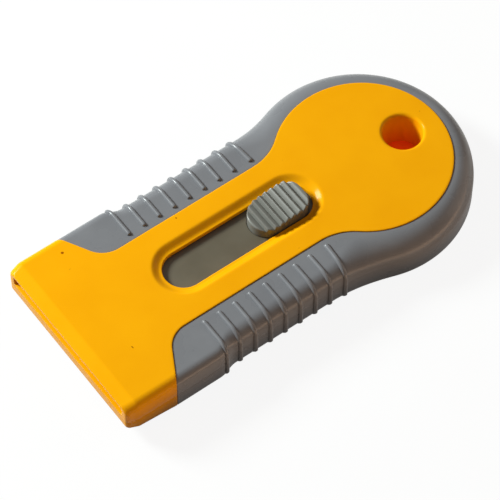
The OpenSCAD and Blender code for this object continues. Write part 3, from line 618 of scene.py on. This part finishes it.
# Crown of rows across the button with a rounded edge and a skirt, and a square stem below it
def buttonPiece():
    end = button["length"]
    a = np.linspace(0, np.pi / 2, 40)
    even = np.arange(button["rowFirst"], end - button["rowGap"], button["rowStep"])
    l = np.concatenate([button["half"] * (1 - np.cos(a)), even,
                        end - button["rearRound"] * (1 - np.sin(a))])
    l = np.unique(np.round(l, 4))[:, None]
    half = buttonHalf(l)
    c = np.sin(np.linspace(-np.pi / 2, np.pi / 2, 61))
    c = np.sign(c) * (1 - (1 - np.abs(c)) ** button["spread"])
    y = half * c
    r = button["edgeRound"]
    near = np.minimum(buttonEdge(l, y), r)
    top = -(buttonHeight(l) - (r - np.sqrt(r ** 2 - (r - near) ** 2)))
    low = button["skirt"] + 0 * half
    y = np.concatenate([-half, -half, y, half, half], 1)
    d = np.concatenate([low, mix(top[:, :1], low, 0.5), top, mix(top[:, -1:], low, 0.5), low], 1)
    crown = np.stack([button["front"] + l + 0 * y, y, d], -1)
    middle = button["front"] + end / 2
    turn = np.radians(np.arange(0, 360, 5))
    square = np.maximum(np.abs(np.cos(turn)), np.abs(np.sin(turn)))
    plan = np.stack([middle + button["stemHalfLength"] * np.cos(turn) / square,
                     button["stemHalf"] * np.sin(turn) / square], -1)
    shrink = np.array([0, 1, 1, 0])[:, None, None]
    root = button["skirt"] - button["stemRoot"]
    deep = np.array([root, root, button["stemDepth"], button["stemDepth"]])
    stem = [middle, 0] + shrink * (plan - [middle, 0])
    stem = np.concatenate([stem, np.broadcast_to(deep[:, None, None], stem.shape[:2] + (1,))], -1)
    patches = [(toFrame(crown, True), False, False), (toFrame(stem, True), False, True)]
    return makePiece("thumbButton", patches, fillEnds=True)


# Materials: every colour, gloss and bump varies with Object coordinates
noiseSpan = (0.3, 0.7)                          # where most of a noise lies
speckle = {"scale": 700, "start": 0.872, "stop": 0.89}
grainStrength = 0.6


# Linear colour from screen values of 0 to 255
def srgb(r, g, b):
    c = np.array([r, g, b]) / 255
    return (*np.where(c <= 0.04045, c / 12.92, ((c + 0.055) / 1.055) ** 2.4), 1)


# New node, with its settings and the plain values of its sockets
def addNode(tree, kind, **values):
    node = tree.nodes.new(kind)
    for key, value in values.items():
        if hasattr(node, key):
            setattr(node, key, value)
        else:
            node.inputs[key].default_value = value
    return node


# Noise on Object coordinates, which a stretch turns into brushed lines
def addNoise(tree, coords, scale, detail=2.0, stretch=(1, 1, 1)):
    mapping = addNode(tree, "ShaderNodeMapping", Scale=stretch)
    noise = addNode(tree, "ShaderNodeTexNoise", Scale=scale, Detail=detail)
    tree.links.new(coords.outputs["Object"], mapping.inputs["Vector"])
    tree.links.new(mapping.outputs["Vector"], noise.inputs["Vector"])
    return noise.outputs["Fac"]


# Colour from a noise, between two stops
def addRamp(tree, value, low, high, start=noiseSpan[0], stop=noiseSpan[1]):
    ramp = tree.nodes.new("ShaderNodeValToRGB")
    ramp.color_ramp.elements[0].position = start
    ramp.color_ramp.elements[0].color = low
    ramp.color_ramp.elements[1].position = stop
    ramp.color_ramp.elements[1].color = high
    tree.links.new(value, ramp.inputs["Fac"])
    return ramp.outputs["Color"]


# Number from a noise, such as a roughness
def addRange(tree, value, low, high):
    span = addNode(tree, "ShaderNodeMapRange")
    span.inputs["From Min"].default_value = noiseSpan[0]
    span.inputs["From Max"].default_value = noiseSpan[1]
    span.inputs["To Min"].default_value = low
    span.inputs["To Max"].default_value = high
    tree.links.new(value, span.inputs["Value"])
    return span.outputs["Result"]


# Links an output to a socket, or sets a plain value there
def feed(tree, socket, value):
    if isinstance(value, bpy.types.NodeSocket):
        tree.links.new(value, socket)
    else:
        socket.default_value = value


# Mix of two colours, each an output or a plain value
def addMix(tree, factor, a, b, blend="MIX"):
    node = addNode(tree, "ShaderNodeMix", data_type="RGBA", blend_type=blend)
    colours = [s for s in node.inputs if s.type == "RGBA"]
    feed(tree, node.inputs["Factor"], factor)
    feed(tree, colours[0], a)
    feed(tree, colours[1], b)
    return next(s for s in node.outputs if s.type == "RGBA")


# First value times the second, plus the third
def addSum(tree, first, second, third=None):
    node = addNode(tree, "ShaderNodeMath", operation="MULTIPLY_ADD")
    feed(tree, node.inputs[0], first)
    feed(tree, node.inputs[1], second)
    feed(tree, node.inputs[2], 0.0 if third is None else third)
    return node.outputs[0]


# A moulded or rolled finish: clouds of colour and gloss, sparse specks, and a fine grain as bump
def finish(name, low, high, rough, cloud, grain, grainHeight, stretch=(1, 1, 1), speck=None, **sockets):
    material = bpy.data.materials.new(name)
    material.use_nodes = True
    tree = material.node_tree
    shader = tree.nodes["Principled BSDF"]
    for key, value in sockets.items():
        shader.inputs[key.replace("_", " ")].default_value = value
    coords = tree.nodes.new("ShaderNodeTexCoord")
    clouds = addNoise(tree, coords, cloud, 3.0, stretch)
    colour = addRamp(tree, clouds, low, high)
    if speck:
        dots = addNoise(tree, coords, speckle["scale"], 0.0)
        spots = addRamp(tree, dots, (1, 1, 1, 1), speck, speckle["start"], speckle["stop"])
        colour = addMix(tree, 1.0, colour, spots, "MULTIPLY")
    tree.links.new(colour, shader.inputs["Base Color"])
    tree.links.new(addRange(tree, clouds, *rough), shader.inputs["Roughness"])
    bump = addNode(tree, "ShaderNodeBump", Strength=grainStrength, Distance=grainHeight)
    tree.links.new(addNoise(tree, coords, grain, 2.0, stretch), bump.inputs["Height"])
    tree.links.new(bump.outputs["Normal"], shader.inputs["Normal"])
    return material


yellowPlastic = finish("yellowPlastic", srgb(241, 164, 6), srgb(245, 170, 9), (0.15, 0.2), 90, 1500, 3e-6,
                       speck=srgb(165, 125, 95), Specular_IOR_Level=0.05)
greyRubber = finish("greyRubber", srgb(116, 117, 122), srgb(123, 124, 129), (0.25, 0.31), 120, 2600, 8e-6,
                    Specular_IOR_Level=0.38)
greyButton = finish("greyButton", srgb(113, 113, 108), srgb(121, 121, 116), (0.28, 0.34), 150, 2200, 6e-6)
# painted shade: the carrier is a darker, browner copy of the slide's grey, for the slot's shade and its
# yellow bounce
shadedGreySlide = finish("shadedGreySlide", srgb(88, 81, 66), srgb(96, 89, 74), (0.4, 0.48), 150, 2200, 8e-6)
bladeSteel = finish("bladeSteel", srgb(176, 178, 182), srgb(196, 198, 201), (0.24, 0.34), 160, 2400, 1.5e-6,
                    (1, 0.04, 1), Metallic=1.0)
springSteel = finish("springSteel", srgb(150, 150, 150), srgb(172, 172, 172), (0.3, 0.42), 300, 1800, 2e-6,
                     Metallic=1.0)
print("materials made")

dress(upperShell(), "body", "yellow_shell", yellowPlastic, "upper_shell")
dress(lowerShell(), "body", "yellow_shell", yellowPlastic, "lower_shell")
dress(gripPiece("upperGrip", True), "body", "grey_grip", greyRubber, "upper_grip")
dress(gripPiece("lowerGrip", False), "body", "grey_grip", greyRubber, "lower_grip")
dress(buttonPiece(), "button", "grey_slide", greyButton, "slide_button")

for node, material in {"blade_carrier": shadedGreySlide, "razor_blade": bladeSteel, "blade_spine": bladeSteel,
                       "lock_spring": springSteel, "body_screws": springSteel}.items():
    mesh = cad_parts[node].data
    mesh.materials.clear()
    mesh.materials.append(material)
print("pieces dressed")

# Floor, light and camera
studio = {
    "flatRadius": 1.2, "coveRadius": 0.9, "innerRadius": 0.2, "drop": 0.03,
    "sheetLow": srgb(240, 240, 240), "sheetHigh": srgb(246, 246, 246), "sheetGrain": 40, "sheetRough": 0.8,
    # painted light: a deep orange patch of floor under the hang hole with a faint glow, for light through
    # the plastic
    "underFrom": 9.0, "underTo": 11.0, "paintedGlowTint": srgb(255, 88, 5), "paintedGlowStrength": 0.1,
    "bounceTint": srgb(138, 120, 102),
    "whiteShare": {"Is Camera Ray": 0.9, "Is Glossy Ray": 0.3, "Is Transmission Ray": 0.3},
    "room": 0.19, "roomTint": (1, 0.8, 0.62, 1), "roomSeen": 0.5,
    "target": (7.13, 4.98, 10.4), "cameraAt": (205.4, 274.2, 527.5), "lens": 211.1,
}
lamps = {
    "keyLight": {"at": (0.31, -0.5, 0.37), "aim": (0, 0, 0), "size": 0.2, "power": 8.2,
                 "tint": (0.92, 1, 0.98)},
    "rearLight": {"at": (-0.6, 0.22, 0.2), "aim": (0, 0, 0), "size": 0.5, "power": 0.75,
                  "tint": (1, 0.86, 0.74)},
    # lies on the table beside the object, as light that comes back up from it
    "bounceLight": {"at": (-0.02, 0.19, 0.002), "aim": (-0.02, 0.19, 1), "size": 0.3, "power": 0.6,
                    "tint": (1, 0.6, 0.34)},
}


# White paper that keeps the object's shadow. A straight look shows mostly its own white, a reflection
# less of it, and light that bounces off it is warmer and weaker. Under the hang hole the paper is painted
# deep orange and given a faint glow: painted light for the light that comes through the plastic into the
# bore.
def floorMaterial():
    material = bpy.data.materials.new("studioFloor")
    material.use_nodes = True
    tree = material.node_tree
    coords = tree.nodes.new("ShaderNodeTexCoord")
    rays = tree.nodes.new("ShaderNodeLightPath")
    grain = addNoise(tree, coords, studio["sheetGrain"])
    gap = addNode(tree, "ShaderNodeVectorMath", operation="DISTANCE")
    gap.inputs[1].default_value = ((frontX - hole["at"]) * mm, 0, 0)
    tree.links.new(coords.outputs["Object"], gap.inputs[0])
    patch = addNode(tree, "ShaderNodeMapRange", interpolation_type="SMOOTHSTEP")
    patch.inputs["From Min"].default_value = studio["underFrom"] * mm
    patch.inputs["From Max"].default_value = studio["underTo"] * mm
    tree.links.new(gap.outputs["Value"], patch.inputs["Value"])
    sheet = addRamp(tree, grain, studio["sheetLow"], studio["sheetHigh"])
    warm = addMix(tree, rays.outputs["Is Diffuse Ray"], sheet, studio["bounceTint"])
    # painted glow: under the hang hole the paper takes the deep orange tint instead of white
    paper = addMix(tree, patch.outputs["Result"], studio["paintedGlowTint"], warm)
    white = tree.nodes["Principled BSDF"]
    white.inputs["Roughness"].default_value = studio["sheetRough"]
    tree.links.new(paper, white.inputs["Base Color"])
    # painted glow: a faint orange emission under the hang hole, though the floor is no lamp
    white.inputs["Emission Color"].default_value = studio["paintedGlowTint"]
    paintedShine = addSum(tree, patch.outputs["Result"], -studio["paintedGlowStrength"], studio["paintedGlowStrength"])
    tree.links.new(paintedShine, white.inputs["Emission Strength"])
    share = None
    for ray, amount in studio["whiteShare"].items():
        share = addSum(tree, rays.outputs[ray], amount, share)
    seen = addSum(tree, patch.outputs["Result"], share)
    glow = addNode(tree, "ShaderNodeEmission", Strength=1.0)
    both = tree.nodes.new("ShaderNodeMixShader")
    tree.links.new(seen, both.inputs["Fac"])
    tree.links.new(white.outputs["BSDF"], both.inputs[1])
    tree.links.new(glow.outputs["Emission"], both.inputs[2])
    tree.links.new(both.outputs["Shader"], tree.nodes["Material Output"].inputs["Surface"])
    return material


# Flat disc that turns up into a quarter round all about, so that low views end in white as well
rise = np.linspace(0, np.pi / 2, 16)
coveOut = studio["flatRadius"] + studio["coveRadius"] * np.sin(rise)
coveUp = studio["coveRadius"] * (1 - np.cos(rise))
ringRadius = np.concatenate([[0, studio["innerRadius"]], coveOut])[:, None]
ringHeight = np.concatenate([[0, 0], coveUp])[:, None] - studio["drop"] * mm
around = np.linspace(0, 2 * np.pi, 96, endpoint=False)
cove = np.stack([ringRadius * np.cos(around), ringRadius * np.sin(around), ringHeight + 0 * around], -1)
floor = makePiece("studioFloor", [(cove, False, True)])
floor.data.materials.append(floorMaterial())


# The room is dim and warm as light, and paler where the camera or a reflection sees it
def roomWorld():
    room = bpy.data.worlds.new("studioRoom")
    room.use_nodes = True
    tree = room.node_tree
    dim = tree.nodes["Background"]
    dim.inputs["Color"].default_value = studio["roomTint"]
    dim.inputs["Strength"].default_value = studio["room"]
    pale = addNode(tree, "ShaderNodeBackground", Strength=studio["roomSeen"])
    pale.inputs["Color"].default_value = (1, 1, 1, 1)
    rays = tree.nodes.new("ShaderNodeLightPath")
    share = None
    for ray in studio["whiteShare"]:
        share = addSum(tree, rays.outputs[ray], 1.0, share)
    both = tree.nodes.new("ShaderNodeMixShader")
    tree.links.new(share, both.inputs["Fac"])
    tree.links.new(dim.outputs["Background"], both.inputs[1])
    tree.links.new(pale.outputs["Background"], both.inputs[2])
    tree.links.new(both.outputs["Shader"], tree.nodes["World Output"].inputs["Surface"])
    return room


bpy.context.scene.world = roomWorld()

for name, lamp in lamps.items():
    light = bpy.data.lights.new(name, "AREA")
    light.energy = lamp["power"]
    light.size = lamp["size"]
    light.color = lamp["tint"]
    placed = bpy.data.objects.new(name, light)
    placed.location = lamp["at"]
    facing = Vector(lamp["at"]) - Vector(lamp["aim"])
    placed.rotation_euler = facing.to_track_quat("Z", "Y").to_euler()
    placed.visible_camera = False
    bpy.context.scene.collection.objects.link(placed)

camera = bpy.data.objects.new("camera", bpy.data.cameras.new("camera"))
camera.data.sensor_fit = "HORIZONTAL"
camera.data.sensor_width = 36
camera.data.lens = studio["lens"]
camera.data.clip_start = 0.01
camera.location = Vector(studio["cameraAt"]) * mm
back = camera.location - Vector(studio["target"]) * mm
camera.rotation_euler = back.to_track_quat("Z", "Y").to_euler()
bpy.context.scene.collection.objects.link(camera)
bpy.context.scene.camera = camera
bpy.context.scene.view_settings.view_transform = "Standard"
print("floor, light and camera set")
